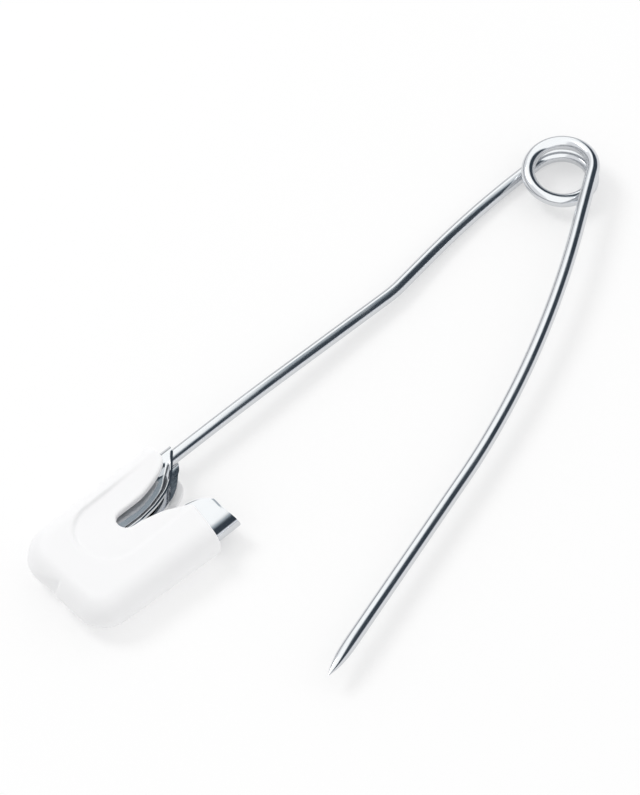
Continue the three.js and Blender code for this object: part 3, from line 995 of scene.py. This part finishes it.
def floor_finish(glow):
    """White acrylic sheet, lit a little from below. It is full white where camera or bright metal sees it."""
    material, tree = new_material("white_acrylic_sheet")
    rays = add_node(tree, "ShaderNodeLightPath").outputs
    seen = maths(tree, "MAXIMUM", rays["Is Camera Ray"], rays["Is Glossy Ray"])
    either = maths(tree, "MAXIMUM", seen, rays["Is Transmission Ray"])
    colour = mixed_colour(tree, either, (*linear("#FBFBFB"), 1), (1, 1, 1, 1))
    sheet = add_node(tree, "ShaderNodeBsdfDiffuse", {"Color": colour})
    light = add_node(tree, "ShaderNodeEmission", {"Color": (1, 1, 1, 1), "Strength": 1.0})
    mixed = add_node(tree, "ShaderNodeMixShader", {"Fac": glow, 1: sheet.outputs[0], 2: light.outputs[0]})
    finish_material(tree, mixed)
    return material


def middle_of_view(turn):
    """The middle of the pin's box as a camera turned that way sees it, in the camera's own directions."""
    spots = []
    for name in PIECES:
        mesh = bpy.data.objects[name].data
        places = np.empty(3 * len(mesh.vertices))
        mesh.vertices.foreach_get("co", places)
        spots.append(places.reshape(-1, 3) @ np.array(turn.to_matrix()))
    spots = np.vstack(spots)
    return Vector((spots.min(axis=0) + spots.max(axis=0)) / 2)


class PIN_OT_wire(bpy.types.Operator):
    """Draws the fixed leg, the coil and the arm with its ground point"""

    bl_idname = "pin.wire"
    bl_label = "Wire"

    def execute(self, context):
        wire = context.scene.pin_wire
        clasp = context.scene.pin_clasp
        leg = draw_wire("leg_wire", leg_line(wire, clasp))
        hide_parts("fixed_leg")
        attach(leg, "leg_and_clasp")
        coil = draw_wire("coil_wire", coil_line(wire))
        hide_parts("spring_coil")
        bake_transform(coil)
        arm = draw_wire("arm_wire", arm_line(wire), pointed=True)
        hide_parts("pin_arm")
        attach(arm, "arm")
        return {"FINISHED"}


class PIN_OT_clasp(bpy.types.Operator):
    """Folds the metal clasp with its throat"""

    bl_idname = "pin.clasp"
    bl_label = "Clasp"

    def execute(self, context):
        sizes = context.scene.pin_clasp
        clasp = link_object("folded_clasp", clasp_mesh(sizes))
        clasp.data.materials.append(polished_sheet_finish(context.scene.pin_finish.clasp))
        wall = clasp.modifiers.new("Sheet", "SOLIDIFY")
        wall.thickness = sizes.sheet
        wall.offset = -1
        wall.use_even_offset = True
        edge = clasp.modifiers.new("Edge", "BEVEL")
        edge.width = SHEET_EDGE_ROUND
        edge.segments = SHEET_EDGE_SEGMENTS
        edge.limit_method = "ANGLE"
        edge.angle_limit = SHEET_EDGE_ANGLE
        edge.harden_normals = True
        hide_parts("metal_clasp")
        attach(clasp, "leg_and_clasp")
        return {"FINISHED"}


class PIN_OT_sleeve(bpy.types.Operator):
    """Moulds the white lock sleeve"""

    bl_idname = "pin.sleeve"
    bl_label = "Sleeve"

    def execute(self, context):
        sleeve = link_object("moulded_sleeve", sleeve_mesh(context.scene.pin_clasp))
        sleeve.data.materials.append(moulded_plastic_finish(context.scene.pin_finish.sleeve))
        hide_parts("lock_sleeve")
        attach(sleeve, "sleeve")
        return {"FINISHED"}


class PIN_OT_stage(bpy.types.Operator):
    """Sets up the camera, the white floor, the tent and the softbox"""

    bl_idname = "pin.stage"
    bl_label = "Stage"

    def execute(self, context):
        scene = context.scene
        stage = scene.pin_stage
        back = Vector((
            math.sin(stage.azimuth) * math.cos(stage.elevation),
            -math.cos(stage.azimuth) * math.cos(stage.elevation),
            math.sin(stage.elevation),
        ))
        turn = back.to_track_quat("Z", "Y")
        aim = turn @ middle_of_view(turn)
        lens = bpy.data.cameras.new("camera")
        lens.lens = stage.focal_length
        lens.clip_start, lens.clip_end = CAMERA_CLIP
        camera = link_object("camera", lens)
        camera.location = aim + back * stage.distance
        camera.rotation_mode = "QUATERNION"
        camera.rotation_quaternion = turn
        scene.camera = camera

        corners = ((-1, -1), (1, -1), (1, 1), (-1, 1))
        places = [(x * FLOOR_HALF, y * FLOOR_HALF, -FLOOR_DROP) for x, y in corners]
        sheet = bpy.data.meshes.new("floor")
        sheet.from_pydata(places, [], [(0, 1, 2, 3)])
        sheet.materials.append(floor_finish(stage.floor_glow))
        link_object("floor", sheet)

        box = bpy.data.lights.new("softbox", "AREA")
        box.shape = "DISK"
        box.size = 2 * SOFTBOX_RADIUS
        towards = SOFTBOX_DIRECTION.normalized()
        # The power that gives the floor the light asked for, from a disk that far off and that steep.
        box.energy = math.pi**2 * stage.softbox / towards.z * SOFTBOX_DISTANCE**2
        lamp = link_object("softbox", box)
        lamp.location = aim + towards * SOFTBOX_DISTANCE
        lamp.rotation_mode = "QUATERNION"
        lamp.rotation_quaternion = SOFTBOX_DIRECTION.to_track_quat("Z", "Y")

        scene.world = studio_world(stage)
        scene.view_settings.view_transform = "Standard"
        return {"FINISHED"}


class PIN_PT_panel(bpy.types.Panel):
    """Lists the pin's sizes, colours and steps"""

    bl_idname = "PIN_PT_panel"
    bl_label = "Safety Pin"
    bl_space_type = "VIEW_3D"
    bl_region_type = "UI"
    bl_category = "Safety Pin"

    def draw(self, context):
        scene = context.scene
        for group in (scene.pin_wire, scene.pin_clasp, scene.pin_finish, scene.pin_stage):
            box = self.layout.box()
            for name in group.__annotations__:
                box.prop(group, name)
        for operator in OPERATORS:
            self.layout.operator(operator.bl_idname)


OPERATORS = (PIN_OT_wire, PIN_OT_clasp, PIN_OT_sleeve, PIN_OT_stage)
GROUPS = {
    "pin_wire": PinWireSizes,
    "pin_clasp": PinClaspSizes,
    "pin_finish": PinFinish,
    "pin_stage": PinStage,
}


def register():
    """Registers the classes and puts their sizes on the scene."""
    for cls in (*GROUPS.values(), *OPERATORS, PIN_PT_panel):
        bpy.utils.register_class(cls)
    for name, group in GROUPS.items():
        setattr(bpy.types.Scene, name, PointerProperty(type=group))


def unregister():
    """Takes the sizes and the classes away again."""
    for name in GROUPS:
        delattr(bpy.types.Scene, name)
    for cls in reversed((*GROUPS.values(), *OPERATORS, PIN_PT_panel)):
        bpy.utils.unregister_class(cls)


def main():
    """Builds the pin and its stage."""
    register()
    for operator in OPERATORS:
        getattr(bpy.ops.pin, operator.bl_idname.split(".")[1])()


if __name__ == "__main__":
    main()
